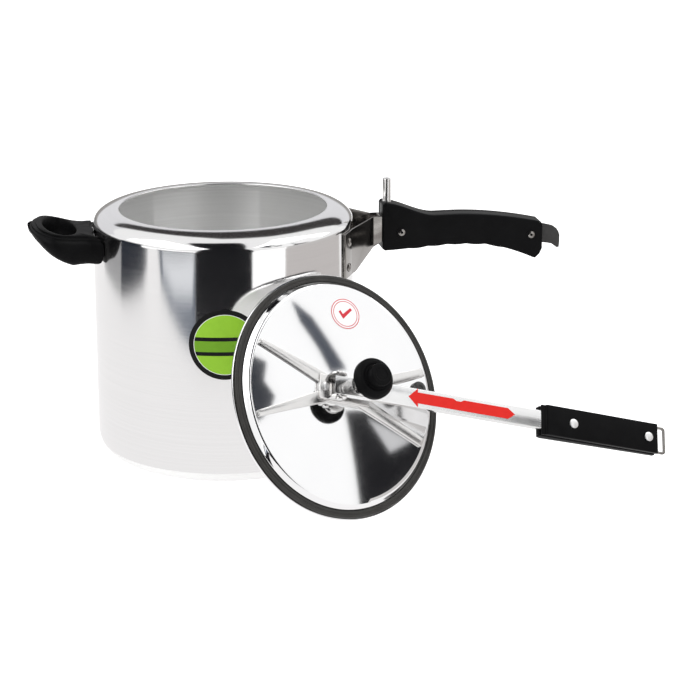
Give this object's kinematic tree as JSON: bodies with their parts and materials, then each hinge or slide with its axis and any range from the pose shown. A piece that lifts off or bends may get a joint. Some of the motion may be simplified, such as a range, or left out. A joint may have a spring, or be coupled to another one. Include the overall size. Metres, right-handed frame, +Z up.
{
  "type": "pressure cooker",
  "caption": "Inner-lid pressure cooker: round pot with a rolled-in oval mouth, long handle and loop handle, with its levered lid taken off and leaning on the pot.",
  "frame": {"origin": "middle of the flat underside of the pot", "axes": "+X along the long handle, +Z up out of the mouth, -Y towards the leaning lid"},
  "size_m": [0.515, 0.3206, 0.2266],
  "materials": {
    "polished_aluminium": "mirror polished above, satin below",
    "bright_steel": "bright plated steel",
    "black_bakelite": "moulded, soft gloss",
    "blackened_steel": "matt black",
    "grey_rubber": "matt",
    "valve_metal": "turned",
    "rivet_aluminium": "matt"
  },
  "bodies": {
    "pot": {"pot_body": "polished_aluminium", "handle_bracket": "bright_steel", "bracket_rivet_1": "bright_steel", "bracket_rivet_2": "bright_steel", "bracket_rivet_3": "bright_steel", "bracket_rivet_4": "bright_steel", "handle_body": "black_bakelite", "handle_cover": "black_bakelite", "handle_hook_strip": "blackened_steel", "handle_screw_root": "bright_steel", "handle_screw_tail": "bright_steel", "handle_nut_root": "bright_steel", "handle_nut_tail": "bright_steel", "guide_pin": "bright_steel", "helper_handle": "black_bakelite", "helper_plate": "bright_steel", "helper_rivet_1": "bright_steel", "helper_rivet_2": "bright_steel", "helper_screw": "bright_steel"},
    "lid": {"lid_plate": "polished_aluminium", "lid_gasket": "grey_rubber", "lid_brace": "bright_steel", "lid_bracket": "bright_steel", "lid_rivet_1": "bright_steel", "lid_rivet_2": "bright_steel", "pivot_pin": "bright_steel", "vent_tube": "bright_steel", "vent_nut": "bright_steel", "safety_valve": "valve_metal", "safety_valve_nut": "bright_steel"},
    "lever": {"lever_bar": "bright_steel", "lever_latch_loop": "bright_steel", "lever_grip_top": "black_bakelite", "lever_grip_bottom": "black_bakelite", "lever_rivet_1": "rivet_aluminium", "lever_rivet_2": "rivet_aluminium"},
    "weight": {"weight_body": "bright_steel", "weight_cap": "black_bakelite"}
  },
  "joints": [
    {"name": "lid_lift", "type": "slide", "parent": "pot", "child": "lid", "axis": [0, 0, 1], "range_m": [0, 0.3]},
    {"name": "lever_pivot", "type": "hinge", "parent": "lid", "child": "lever", "pos_m": [0.06475, -0.16909, 0.10249], "axis": [-0.1309, -0.5882, -0.798], "range_deg": [0, 15]},
    {"name": "weight_lift", "type": "slide", "parent": "lid", "child": "weight", "axis": [0.3363, -0.7836, 0.5224], "range_m": [0, 0.03]}
  ]
}
